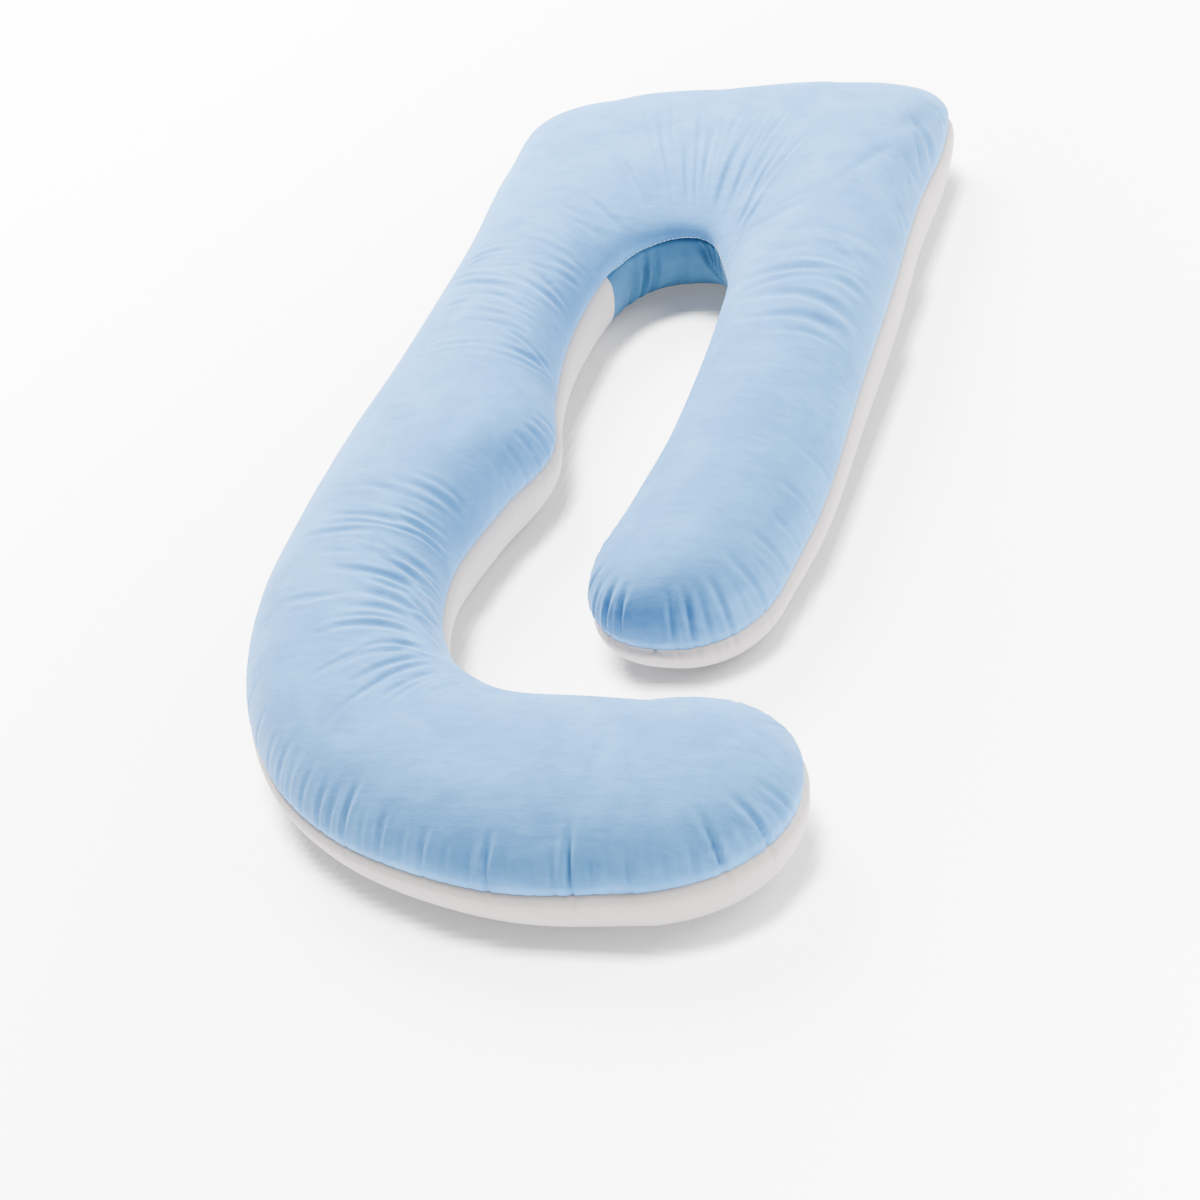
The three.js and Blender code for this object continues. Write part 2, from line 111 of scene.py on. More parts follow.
# Main folds: place and across where one starts, place and across where it ends, how far its
# middle bows along the pillow, depth and width of the crease in mm.
FOLDS = [
    # Bend of the hook.
    (2.58, 0.55, 2.25, 0.79, 0.03, 2.5, 7),
    (3.05, 0.47, 2.68, 0.77, 0.03, 5, 8),
    (3.33, 0.47, 2.95, 0.76, 0.04, 2.5, 8),
    (3.62, 0.45, 3.12, 0.78, 0.05, 5, 8),
    (3.98, 0.45, 3.80, 0.62, 0.02, 4, 8),
    (4.08, 0.57, 3.25, 0.80, 0.08, 5, 7),
    (4.65, 0.43, 3.80, 0.80, 0.12, 6, 7),
    (4.88, 0.52, 4.30, 0.78, 0.02, 4, 8),
    (4.55, 0.74, 3.70, 0.88, 0.04, 4, 8),
    (5.24, 0.49, 4.45, 0.85, -0.03, 5, 8),
    (5.36, 0.37, 5.02, 0.55, 0.00, 4, 8),
    (4.92, 0.74, 4.48, 0.90, -0.04, 4, 9),
    (5.62, 0.46, 5.00, 0.83, -0.06, 8, 8),
    (5.30, 0.72, 5.00, 0.93, -0.04, 4, 8),
    (5.90, 0.44, 5.60, 0.58, 0.00, 3, 7),
    (5.80, 0.61, 5.36, 0.96, -0.10, 5, 9),
    (6.28, 0.34, 5.92, 0.63, -0.02, 5, 8),
    (6.55, 0.38, 6.00, 0.73, -0.05, 7, 8),
    (6.24, 0.60, 5.97, 0.95, -0.06, 6, 8),
    (6.90, 0.42, 6.45, 0.65, -0.02, 4, 8),
    (6.80, 0.52, 6.42, 0.90, -0.04, 4, 9),
    # Upper part of the long leg.
    (8.92, 0.34, 9.08, 0.64, 0.00, 2, 8),
    (9.06, 0.58, 9.22, 0.93, -0.05, 4, 9),
    (9.50, 0.52, 9.25, 0.87, -0.03, 6, 9),
    (9.70, 0.33, 9.76, 0.48, 0.00, 3, 7),
    (9.63, 0.42, 9.58, 0.70, 0.00, 3, 8),
    (9.92, 0.50, 9.80, 0.76, 0.00, 3, 8),
    (10.05, 0.24, 10.07, 0.70, 0.02, 6, 9),
    (10.30, 0.50, 10.20, 0.90, -0.02, 6, 8),
    (10.30, 0.42, 10.50, 0.63, 0.00, 2, 6),
    (10.45, 0.27, 10.70, 0.56, 0.00, 4, 8),
    (10.52, 0.55, 10.58, 0.74, 0.00, 2.5, 7),
    (10.72, 0.62, 10.84, 0.86, 0.00, 3, 9),
    (11.08, 0.50, 11.14, 0.80, 0.00, 3, 10),
    (11.66, 0.53, 11.82, 0.76, 0.00, 3, 10),
    (12.02, 0.55, 12.18, 0.85, -0.03, 4, 12),
    # Fan above the crook.
    (13.36, 0.48, 13.08, 0.82, 0.03, 5, 10),
    (13.98, 0.58, 13.62, 0.80, 0.03, 2.5, 9),
    (14.36, 0.37, 13.90, 0.82, 0.06, 7, 8),
    (14.58, 0.50, 14.34, 0.80, 0.03, 5, 8),
    (14.80, 0.44, 14.70, 0.56, 0.00, 2, 7),
    (14.97, 0.45, 14.80, 0.76, 0.02, 5, 8),
    (15.28, 0.42, 15.18, 0.55, 0.00, 3, 7),
    (15.54, 0.43, 15.22, 0.84, 0.04, 7, 9),
    (15.76, 0.47, 15.78, 0.76, -0.02, 5, 8),
    (16.08, 0.52, 16.10, 0.70, 0.00, 2, 8),
    (16.40, 0.56, 16.44, 0.83, 0.00, 5, 8),
    (16.74, 0.66, 16.78, 0.80, 0.00, 3, 8),
    # Sweeps down the short leg and at its shoulder.
    (18.80, 0.50, 17.00, 0.79, 0.15, 5, 11),
    (19.55, 0.52, 18.10, 0.75, 0.15, 3, 9),
    (18.54, 0.76, 19.97, 0.15, 0.34, 6, 12),
    (19.38, 0.60, 20.14, 0.19, 0.04, 5, 10),
    (19.20, 0.76, 20.33, 0.17, 0.05, 8, 11),
    (19.70, 0.64, 20.66, 0.12, 0.12, 9, 11),
    (20.14, 0.60, 20.84, 0.15, 0.06, 5, 11),
    (18.52, -0.03, 17.40, 0.31, 0.30, 6, 9),
    (18.92, -0.03, 18.20, 0.32, 0.20, 3, 9),
    (17.80, -0.05, 17.52, 0.18, 0.05, 5, 8),
    (19.40, 0.02, 19.10, 0.22, 0.05, 2, 8),
]

# The camera of the photograph: its rise, turn, roll, distance, focal length in pixels of a
# 1200 pixel frame, and the point on the floor that it looks along.
CAMERA_RISE = math.radians(36)
CAMERA_TURN = 0.4649165
CAMERA_ROLL = math.radians(16)
CAMERA_DISTANCE = 3836.2
CAMERA_FOCAL = 3300
CAMERA_SHIFT = (-13.895, 0.894)
CAMERA_CENTRE = (14.728, 196.812)
FRAME_WIDTH = 1200
SENSOR_WIDTH = 36
# How far the camera sees, in metres.
CAMERA_REACH = 100.0

# The floor in metres: half its size, half of the middle that its coarse mesh leaves out, half of
# the part with a fine mesh and that part's steps. Its glow is painted light: an emission given
# under the pillow, near it and far from it, with the openness to the sky over which the first
# part grows and the distances over which the second does. The weak glow where the pillow hides
# the sky is painted shadow.
FLOOR_HALF = 40.0
FLOOR_MIDDLE = 4.0
FLOOR_FINE = 1.4
FLOOR_STEPS = 280
FLOOR_LEVEL = -0.0005
PAINTED_GLOW = (0.2, 5.2, 9.0)
PAINTED_SHADOW_OPEN = (0.08, 0.48)
PAINTED_GLOW_FAR = (0.2, 1.4)
PAINTED_SHADOW_SMOOTHING = 5
SKY_DIRECTIONS = 24
SKY_REACHES = (0.01, 0.02, 0.03, 0.045, 0.065, 0.09, 0.13, 0.18, 0.25, 0.35)

# Lamps, aimed at the middle of the floor: position and size in metres, and power. Then the
# colour and strength of the light from all round.
KEY_LAMP = ((-2.0, 2.3, 3.0), 2.4, 1440)
FILL_LAMP = ((2.6, 0.4, 2.2), 2.5, 240)
SKY_LIGHT = ("#eef3ff", 0.2)

# Fineness of the skin: spacing of its rings in mm, points over the upper and the lower half,
# rings on each rounded end, and how much closer the points stand at the sewn edges. The spacing
# is measured just beyond the crown, on a run of so many steps.
FINE_GRID = (2.5, 116, 48, 56)
SIMULATED_GRID = (7.0, 44, 28, 20)
CROWDING = 0.4
SPACED_ACROSS = 0.55
RUN_STEPS = 4000

# Creases of the blue piece inside the crook: place at the sewn edge, place at the foot, depth
# and width in mm.
CROOK_FOLDS = [
    (12.05, 12.00, 3, 4),
    (12.50, 12.22, 8, 4),
    (12.78, 12.55, 5, 5),
    (13.60, 13.50, 2, 7),
    (14.30, 16.30, 12, 5),
    (14.66, 16.45, 11, 4.5),
    (15.00, 16.60, 10, 4),
    (15.34, 16.70, 7, 4),
    (16.40, 16.60, 3, 6),
]

# Stitches along the crook's sewn edge: length, gap and thickness in mm, the places they run
# between, how far beside and above the edge they lie in thicknesses, how thick they are from one
# end to the other, and their sides.
STITCH = (5.0, 1.2, 1.4)
STITCHED = (11.6, 17.3)
STITCH_BESIDE = 0.5
STITCH_ABOVE = 1.4
STITCH_SWELL = (0.3, 0.85, 1.0, 0.85, 0.3)
STITCH_SIDES = 6

# The sewn edge in mm: how far it is drawn in, the same along the crook, how wide that shows, the
# gap between two pieces, and how far the cloth is turned in behind it, at most this share of the
# way to the other edge.
CREASE_DEPTH = 5.0
CROOK_CREASE_DEPTH = 0.8
CREASE_WIDTH = 7.0
SEWN_GAP = 0.8
TURNED_IN = 5.0
TURNED_SHARE = 0.3

# The blue piece inside the crook: its places along the pillow, and its part of the lower half.
CROOK_START = 11.4
CROOK_END = 17.5
CROOK_PART = 0.4
CROOK_STEPS = int(CROOK_PART * FINE_GRID[2])
# Length of its sewn edge in mm for each place, the places over which that edge turns flat, the
# part of the way down where its creases end and the part over which they fade, and the depth
# they start from at the edge with the part over which they grow.
CROOK_RUN = 38.0
CROOK_BLEND = 0.5
CROOK_FOOT = 0.75
CROOK_FADE = 0.4
CROOK_TOP = (0.1, 0.2)

# Gathers at the sewn edge: place, and depth and reach over the plan in mm.
OUTER_GATHERS = [
    (-0.78, 4.0, 40),
    (-0.70, 2.5, 30),
    (-0.57, 6.5, 60),
    (-0.47, 2.5, 30),
    (-0.33, 8.0, 70),
    (-0.22, 3.0, 40),
    (-0.10, 2.5, 35),
    (0.06, 3.0, 45),
    (0.20, 2.0, 30),
    (0.33, 2.5, 40),
    (0.50, 7.5, 70),
    (0.63, 3.0, 40),
    (0.80, 2.0, 30),
    (1.02, 2.0, 30),
    (1.20, 4.5, 50),
    (1.36, 2.0, 30),
    (1.60, 1.5, 30),
    (1.84, 3.0, 40),
    (2.05, 1.5, 30),
    (2.30, 2.5, 45),
    (2.52, 1.5, 35),
    (2.74, 4.0, 60),
    (2.93, 2.0, 45),
    (3.10, 2.5, 45),
    (3.36, 2.0, 50),
    (3.60, 1.5, 45),
    (3.80, 2.0, 45),
    (4.05, 1.5, 40),
    (4.40, 1.5, 40),
    (4.80, 1.5, 40),
    (5.30, 1.5, 35),
    (21.40, 2.0, 30),
    (21.90, 2.5, 35),
    (22.30, 3.5, 40),
    (22.65, 2.0, 35),
    (22.92, 4.5, 45),
    (23.08, 2.5, 35),
    (23.22, 5.0, 45),
    (23.36, 2.5, 35),
    (23.50, 5.0, 45),
    (23.64, 3.0, 40),
    (23.75, 5.0, 45),
    (23.87, 4.0, 45),
]
INNER_GATHERS = [
    (7.15, 1.5, 30),
    (7.42, 2.0, 35),
    (7.66, 3.0, 35),
    (7.88, 3.5, 35),
    (8.06, 2.5, 30),
    (8.22, 1.5, 25),
    (22.60, 2.5, 35),
    (22.86, 3.5, 35),
    (23.04, 4.5, 40),
    (23.20, 2.5, 35),
    (23.34, 5.0, 45),
    (23.50, 3.0, 40),
    (23.66, 5.0, 45),
    (23.80, 4.5, 45),
    (-0.72, 3.0, 40),
    (-0.55, 2.5, 30),
    (-0.38, 3.0, 35),
    (-0.15, 2.0, 30),
]
# Width of a gather at the edge in mm and how much that grows over its reach, depth against the
# tables, the share of it on the sewn edge itself, how far below the edge it has faded out, how
# far from the edge it has its whole depth, and how far outside the edge it still counts.
GATHER_WIDTH = 3.2
GATHER_WIDENING = 0.8
GATHER_GAIN = 0.7
SEAM_SHARE = 0.45
GATHER_DROP = 26.0
GATHER_RISE = 14.0
GATHER_OUTSIDE = -12.0
# A short step along the edge, in places, that shows which way it runs.
EDGE_STEP = 0.01
# Where gathers and folds fade out: beside the pillow's two end points, in places, and above the
# floor, in mm.
TIP_CALM = 0.08
FOOT_CALM = 12.0

# The filling, as a cloth simulation: the skin's weight and stiffness, pressure, steps in each
# frame, frames, the height in mm under which the skin is held by the floor, the furthest that a
# point may move in mm, and how often the moves are smoothed.
CLOTH_MASS = 0.3
STRETCH = 15
SHEAR = STRETCH / 3
BENDING = 0.5
PRESSURE = 4
SIMULATED_QUALITY = 5
SIMULATED_FRAMES = 20
FLOOR_HELD = 4.0
CAP = 5
SMOOTHING = 2

# Sizes of the cloths' patterns in mm: cloudy patches of the velvet, the length, width and height
# of its brush marks and the turn they lie at, its pile and the white cloth's nap. Real pile and
# nap are under 1 mm, and are drawn coarser so that they show.
PATCH = 70.0
STREAK = (38.0, 9.0, 12.5)
BRUSHED_TURN = -0.46
PILE = 2.4
NAP = 3.3
# How much the brush marks count against the patches in the velvet's colour and against the pile
# in its relief, where between dark and light the colour changes, and the strength of each relief.
STREAK_IN_COLOUR = 0.5
STREAK_IN_RELIEF = 3.0
TINT_RANGE = (0.60, 0.92)
PILE_RELIEF = 0.2
NAP_RELIEF = 0.1


# Colour helpers.
def linear(hex_colour):
    """Turns an sRGB hex colour into the linear values that a shader reads."""
    out = []
    for start in (1, 3, 5):
        value = int(hex_colour[start:start + 2], 16) / 255
        if value <= 0.04045:
            out.append(value / 12.92)
        else:
            out.append(((value + 0.055) / 1.055) ** 2.4)
    return (*out, 1.0)


def scale_of(size):
    """The noise scale whose pattern repeats about every so many mm."""
    return 1 / (size * MM)


# The smooth shape.
def between(a, b, c, d, t):
    """Smooth curve from b to c at the part t of the way, with a before them and d after them."""
    cubic = (3 * (b - c) + d - a) * t
    square = 2 * a - 5 * b + 4 * c - d
    return b + 0.5 * t * (c - a + t * (square + cubic))


def curve_through(values, place):
    """Smooth curve through evenly spaced values, at an array of places along them."""
    count = len(values)
    index = np.clip(np.floor(place).astype(int), 0, count - 2)
    t = place - index
    b = values[index]
    c = values[index + 1]
    a = np.where(index > 0, values[np.maximum(index - 1, 0)], 2 * b - c)
    d = np.where(index + 2 < count, values[np.minimum(index + 2, count - 1)], 2 * c - b)
    return between(a, b, c, d, t)


def main_sections(place):
    """Middle, half width, seam height, crown height and depth at places on the main run."""
    plan = np.stack([curve_through(SECTIONS[:, k], place) for k in range(4)], -1)
    height_place = place / LAST * (len(HEIGHTS) - 1)
    seam = curve_through(HEIGHTS[:, 0], height_place)
    crown = curve_through(HEIGHTS[:, 1], height_place)
    middle = (plan[..., :2] + plan[..., 2:]) / 2
    half = (plan[..., 2:] - plan[..., :2]) / 2
    return middle, half, seam, crown, seam.copy()


def sections_at(place):
    """The same as main_sections, and also on the two rounded ends."""
    place = np.asarray(place, float)
    middle, half, seam, crown, depth = main_sections(np.clip(place, 0, LAST))
    inside = (main_sections(np.array(1.0)), main_sections(np.array(LAST - 1.0)))
    ends = ((place < 0, -place, HOOK_END_REACH, inside[0]),
            (place > LAST, place - LAST, SHORT_END_REACH, inside[1]))
    for chosen, part, reach, neighbour in ends:
        if not np.any(chosen):
            continue
        angle = np.clip(part[chosen], 0, 1) * math.pi / 2
        base_half = half[chosen]
        base_middle = middle[chosen]
        length = np.linalg.norm(base_half, axis=-1, keepdims=True)
        forward = np.stack([-base_half[..., 1], base_half[..., 0]], -1) / length
        side = np.sum(forward * (base_middle - neighbour[0]), -1, keepdims=True)
        forward = np.where(side < 0, -forward, forward)
        shrink = np.maximum(np.cos(angle), 0) ** (2 / END_POWER)
        travel = length[..., 0] * reach * np.sin(angle) ** (2 / END_POWER)
        drop = shrink ** END_DROP_POWER
        middle[chosen] = base_middle + forward * travel[..., None]
        half[chosen] = base_half * shrink[..., None]
        crown[chosen] = seam[chosen] + (crown[chosen] - seam[chosen]) * drop
        depth[chosen] = seam[chosen] * drop
    return middle, half, seam, crown, depth


def smooth_points(place, turn):
    """Points in mm; turn 0 is the outer edge, 90 the crown, 180 inner, 270 underneath."""
    middle, half, seam, crown, depth = sections_at(place)
    cos = np.cos(turn)
    sin = np.sin(turn)
    power = np.where(sin >= 0, UPPER_POWER, LOWER_WIDTH_POWER)
    across = np.sign(cos) * np.abs(cos) ** (2 / power)
    plan = middle + half * across[..., None]
    rise = np.abs(sin)
    high = seam + (crown - seam) * rise ** (2 / UPPER_POWER)
    low = np.maximum(seam - SAG * depth * rise ** (2 / LOWER_DEPTH_POWER), 0)
    height = np.where(sin >= 0, high, low)
    return np.concatenate([plan, height[..., None]], -1)


def even_places(spacing, end_rings):
    """Places along the pillow, a spacing apart near the crown, without the end points."""
    fine = np.linspace(0, LAST, RUN_STEPS)
    line = smooth_points(fine, np.full(fine.shape, SPACED_ACROSS * math.pi))
    steps = np.linalg.norm(np.diff(line[:, :2], axis=0), axis=1)
    run = np.concatenate([[0], np.cumsum(steps)])
    count = int(round(run[-1] / spacing))
    main = np.interp(np.linspace(0, run[-1], count + 1), run, fine)
    end = np.arange(1, end_rings) / end_rings
    return np.concatenate([-end[::-1], main, LAST + end])


def crowded(count):
    """Even steps from 0 to 1, closer together at both ends."""
    even = np.linspace(0, 1, count + 1)
    return even - CROWDING * np.sin(2 * math.pi * even) / (2 * math.pi)


def loop_turns(upper_steps, lower_steps):
    """Turns round a section; the outer sewn edge comes first, the inner one at upper_steps."""
    upper = crowded(upper_steps) * math.pi
    lower = crowded(lower_steps)[1:-1] * math.pi + math.pi
    return np.concatenate([upper, lower])


# Folds.
def fade(value):
    """Eased step: 0 up to 0 and 1 from 1 on."""
    t = np.clip(value, 0, 1)
    return t * t * (3 - 2 * t)


def dent_profile(distance):
    """A crease with raised shoulders; distance in crease widths."""
    distance = np.clip(distance, -DENT_REACH, DENT_REACH)
    return (1 - distance ** 2) * np.exp(-distance ** 2 / 2)


def all_folds():
    """The main folds, each with finer ones beside it that echo it."""
    chance = np.random.default_rng(ECHO_SEED)
    folds = []
    for start, start_across, end, end_across, bow, depth, width in FOLDS:
        width *= FOLD_NARROWING
        folds.append((start, start_across, end, end_across, bow, depth * FOLD_GAIN, width))
        for side in (-1, 1):
            away = side * chance.uniform(*ECHO_AWAY)
            shift, stretch, lift = chance.uniform(-ECHO_SHIFT, ECHO_SHIFT, 3)
            folds.append((
                start + away * ECHO_SPREAD[0] + shift * ECHO_LEAN,
                start_across + lift + shift,
                end + away * ECHO_SPREAD[1],
                end_across + lift + stretch,
                bow + shift * ECHO_LEAN,
                depth * FOLD_GAIN * chance.uniform(*ECHO_DEPTH),
                width * chance.uniform(*ECHO_WIDTH),
            ))
    return folds


def fold_dents(place, across, along, around):
    """How deep the folds press the upper half in, for arrays of places."""
    total = np.zeros(place.shape)
    for start, start_across, end, end_across, bow, depth, width in all_folds():
        part = (across - start_across) / (end_across - start_across)
        centre = start + (end - start) * part + bow * 4 * part * (1 - part)
        slant = (end - start) / (end_across - start_across)
        lean = np.hypot(1, slant * along / around)
        distance = (place - centre) * along / (lean * width)
        strength = fade(part / FOLD_TAPER) * fade((1 - part) / FOLD_TAPER)
        strength = np.where((part < 0) | (part > 1), 0, strength)
        strength = strength * fade(across / SEAM_CLEAR) * fade((1 - across) / SEAM_CLEAR)
        total += depth * strength * dent_profile(distance)
    return DEEPEST * np.tanh(total / DEEPEST)


def gather_dents(points):
    """How deep the gathers at the sewn edges press the skin in."""
    total = np.zeros(points.shape[:2])
    for turn, gathers in ((0, OUTER_GATHERS), (math.pi, INNER_GATHERS)):
        for place, depth, reach in gathers:
            near = np.array([place - EDGE_STEP, place, place + EDGE_STEP])
            before, here, after = smooth_points(near, np.full(3, float(turn)))
            middle = sections_at(near)[0][1]
            tangent = (after - before)[:2]
            tangent /= np.linalg.norm(tangent)
            inward = np.array([-tangent[1], tangent[0]])
            if np.dot(inward, middle - here[:2]) < 0:
                inward = -inward
            offset = points[..., :2] - here[:2]
            depth_in = offset @ inward
            beside = offset @ tangent
            height = points[..., 2] - here[2]
            strength = fade(1 - depth_in / reach) * (depth_in > GATHER_OUTSIDE)
            strength = strength * fade(1 + height / GATHER_DROP)
            above = fade(np.abs(height) / GATHER_RISE)
            strength = strength * (SEAM_SHARE + (1 - SEAM_SHARE) * above)
            width = GATHER_WIDTH * (1 + GATHER_WIDENING * np.clip(depth_in / reach, 0, 1))
            total += GATHER_GAIN * depth * strength * dent_profile(beside / width)
    return total


def crook_dents(place, part):
    """How deep the creases of the blue piece inside the crook press the lower half in."""
    total = np.zeros(place.shape)
    share = part / CROOK_PART
    for top, foot, depth, width in CROOK_FOLDS:
        centre = top + (foot - top) * share
        distance = (place - centre) * CROOK_RUN / width
        strength = fade((CROOK_FOOT - share) / CROOK_FADE)
        strength = strength * fade(CROOK_TOP[0] + share / CROOK_TOP[1])
        total += depth * strength * dent_profile(distance)
    return total


def seam_crease(points, place, upper_steps):
    """How far the skin is drawn in beside the sewn edges, less along the crook."""
    steps = np.linalg.norm(np.roll(points, -1, axis=1) - points, axis=-1)
    run = np.concatenate([np.zeros((len(points), 1)), np.cumsum(steps, axis=1)], axis=1)
    whole = run[:, -1:]
    here = run[:, :-1]
    outer = np.minimum(here, whole - here)
    inner = np.abs(here - run[:, upper_steps:upper_steps + 1])
    from_start = fade((place - CROOK_START) / CROOK_BLEND)
    along_crook = from_start * fade((CROOK_END - place) / CROOK_BLEND)
    inner_depth = CREASE_DEPTH + (CROOK_CREASE_DEPTH - CREASE_DEPTH) * along_crook
    outer_crease = CREASE_DEPTH * np.exp(-(outer / CREASE_WIDTH) ** 2)
    return np.maximum(outer_crease, inner_depth * np.exp(-(inner / CREASE_WIDTH) ** 2))


def outward_normals(points):
    """Outward normals of the rings of points."""
    along = np.gradient(points, axis=0)
    around = np.roll(points, -1, axis=1) - np.roll(points, 1, axis=1)
    normal = np.cross(around, along)
    normal /= np.maximum(np.linalg.norm(normal, axis=-1, keepdims=True), 1e-9)
    return normal


def skin_grid(spacing, upper_steps, lower_steps, end_rings):
    """The folded skin as rings of points in mm, with the rings' places along the pillow."""
    places = even_places(spacing, end_rings)
    turns = loop_turns(upper_steps, lower_steps)
    place, turn = np.meshgrid(places, turns, indexing="ij")
    points = smooth_points(place, turn)
    across = turn[:, :upper_steps + 1] / math.pi
    upper = points[:, :upper_steps + 1]
    along = np.gradient(upper, place[:, 0], axis=0)
    around = np.gradient(upper, across[0], axis=1)
    along = np.maximum(np.linalg.norm(along, axis=-1), 1)
    around = np.maximum(np.linalg.norm(around, axis=-1), 1)
    dents = np.zeros(place.shape)
    dents[:, :upper_steps + 1] = fold_dents(place[:, :upper_steps + 1], across, along, around)
    calm = fade((LAST + 1 - places) / TIP_CALM) * fade((places + 1) / TIP_CALM)
    dents += gather_dents(points) * calm[:, None]
    part = turn[:, upper_steps:] / math.pi - 1
    dents[:, upper_steps:] += crook_dents(place[:, upper_steps:], part)
    dents += seam_crease(points, place, upper_steps)
    dents *= fade(points[..., 2] / FOOT_CALM)
    points = points - outward_normals(points) * dents[..., None]
    points[..., 2] = np.maximum(points[..., 2], 0)
    return points, places


# Meshes.
def tips(rings, upper_steps):
    """The two end points of the pillow, between the sewn edges of its first and last rings."""
    return [(rings[end, 0] + rings[end, upper_steps]) / 2 for end in (0, -1)]


def add_mesh(name, vertices, faces, material):
    """A piece with smooth shading; the vertices are in metres."""
    mesh = bpy.data.meshes.new(name)
    mesh.from_pydata([tuple(vertex) for vertex in vertices], [], faces)
    if material:
        mesh.materials.append(material)
    mesh.polygons.foreach_set("use_smooth", [True] * len(mesh.polygons))
    mesh.update()
    piece = bpy.data.objects.new(name, mesh)
    bpy.context.scene.collection.objects.link(piece)
    return piece


def add_tube(name, loops, ends, material):
    """A closed mesh through loops of points in mm, with an end point at each end."""
    count, size = loops.shape[:2]
    vertices = np.concatenate([loops.reshape(-1, 3), ends]) * MM
    k, j = np.meshgrid(np.arange(count - 1), np.arange(size), indexing="ij")
    after = (j + 1) % size
    here = k * size
    quads = np.stack([here + j, here + after, here + size + after, here + size + j], -1)
    quads = quads.reshape(-1, 4)
    j = np.arange(size)
    after = (j + 1) % size
    row = (count - 1) * size
    first = np.stack([np.full(size, count * size), after, j], -1)
    last = np.stack([np.full(size, count * size + 1), row + j, row + after], -1)
    a, b, c, d = (vertices[quads[:, n]] for n in range(4))
    volume = np.sum(a * np.cross(b, c)) + np.sum(a * np.cross(c, d))
    faces = quads.tolist() + first.tolist() + last.tolist()
    if volume < 0:
        faces = [face[::-1] for face in faces]
    return add_mesh(name, vertices, faces, material)


def merge_points(piece):
    """Joins points that coincide and drops the faces without area between them."""
    shape = bmesh.new()
    shape.from_mesh(piece.data)
    bmesh.ops.remove_doubles(shape, verts=shape.verts, dist=1e-6)
    shape.to_mesh(piece.data)
    shape.free()


def turned_edge(edge, other, drop):
    """The cloth's edge beside the seam and turned in behind it, towards the other edge."""
    inward = other - edge
    length = np.maximum(np.linalg.norm(inward, axis=-1, keepdims=True), 1e-9)
    reach = np.minimum(TURNED_IN, length * TURNED_SHARE)
    return edge + inward / length * reach + np.array([0, 0, drop])


def shifted(points, drop):
    """Points moved up by so many mm, or down where that is below zero."""
    return points + np.array([0, 0, drop])


# The pieces.
def add_top(skin, ends, material):
    """The velvet upper half, from one sewn edge over the crown to the other."""
    edge = FINE_GRID[1]
    rise = SEWN_GAP / 2
    turned_in = turned_edge(skin[:, edge], skin[:, 0], rise)
    turned_out = turned_edge(skin[:, 0], skin[:, edge], rise)
    upper = shifted(skin[:, :edge + 1], rise)
    loops = np.concatenate([upper, turned_in[:, None], turned_out[:, None]], axis=1)
    return add_tube("velvet_top", loops, [shifted(end, rise) for end in ends], material)


def lower_half(skin):
    """The lower half from the inner sewn edge to the outer one, and its two turned edges."""
    lower = np.concatenate([skin[:, FINE_GRID[1]:], skin[:, :1]], axis=1)
    lower[:, [0, -1], 2] -= SEWN_GAP / 2
    turned_in = turned_edge(lower[:, 0], lower[:, -1], 0)
    turned_out = turned_edge(lower[:, -1], lower[:, 0], 0)
    return lower, turned_in, turned_out


def hidden_wall(lower, turned_in):
    """The underside's wall behind the crook piece, from the inner edge to that piece's foot."""
    part = (np.arange(CROOK_STEPS + 1) / CROOK_STEPS)[:, None]
    inner = turned_in[:, None]
    foot = lower[:, CROOK_STEPS][:, None]
    return inner + (foot - inner) * part


def add_underside(skin, crook_rings, ends, material):
    """The white lower half, flat where it lies, and cut back behind the crook piece."""
    lower, turned_in, turned_out = lower_half(skin)
    whole = np.concatenate([lower, turned_out[:, None], turned_in[:, None]], axis=1)
    cut = whole.copy()
    cut[:, :CROOK_STEPS + 1] = hidden_wall(lower, turned_in)
    start, end = crook_rings
    loops = np.concatenate([whole[:start + 1], cut[start:end + 1], whole[end:]])
    low_ends = [shifted(point, -SEWN_GAP / 2) for point in ends]
    piece = add_tube("white_underside", loops, low_ends, material)
    merge_points(piece)
    return piece


def add_crook(skin, crook_rings, material):
    """The blue lower piece inside the crook of the head end."""
    lower, turned_in, _ = lower_half(skin)
    start, end = crook_rings
    face = lower[start:end + 1, :CROOK_STEPS + 1]
    back = hidden_wall(lower, turned_in)[start:end + 1, ::-1]
    outward = face[:, CROOK_STEPS // 2] - back[:, CROOK_STEPS // 2]
    outward /= np.linalg.norm(outward, axis=-1, keepdims=True)
    back = back[:, 1:-1] + outward[:, None] * SEWN_GAP
    loops = np.concatenate([face, back], axis=1)
    return add_tube("velvet_crook", loops, [loops[0].mean(0), loops[-1].mean(0)], material)


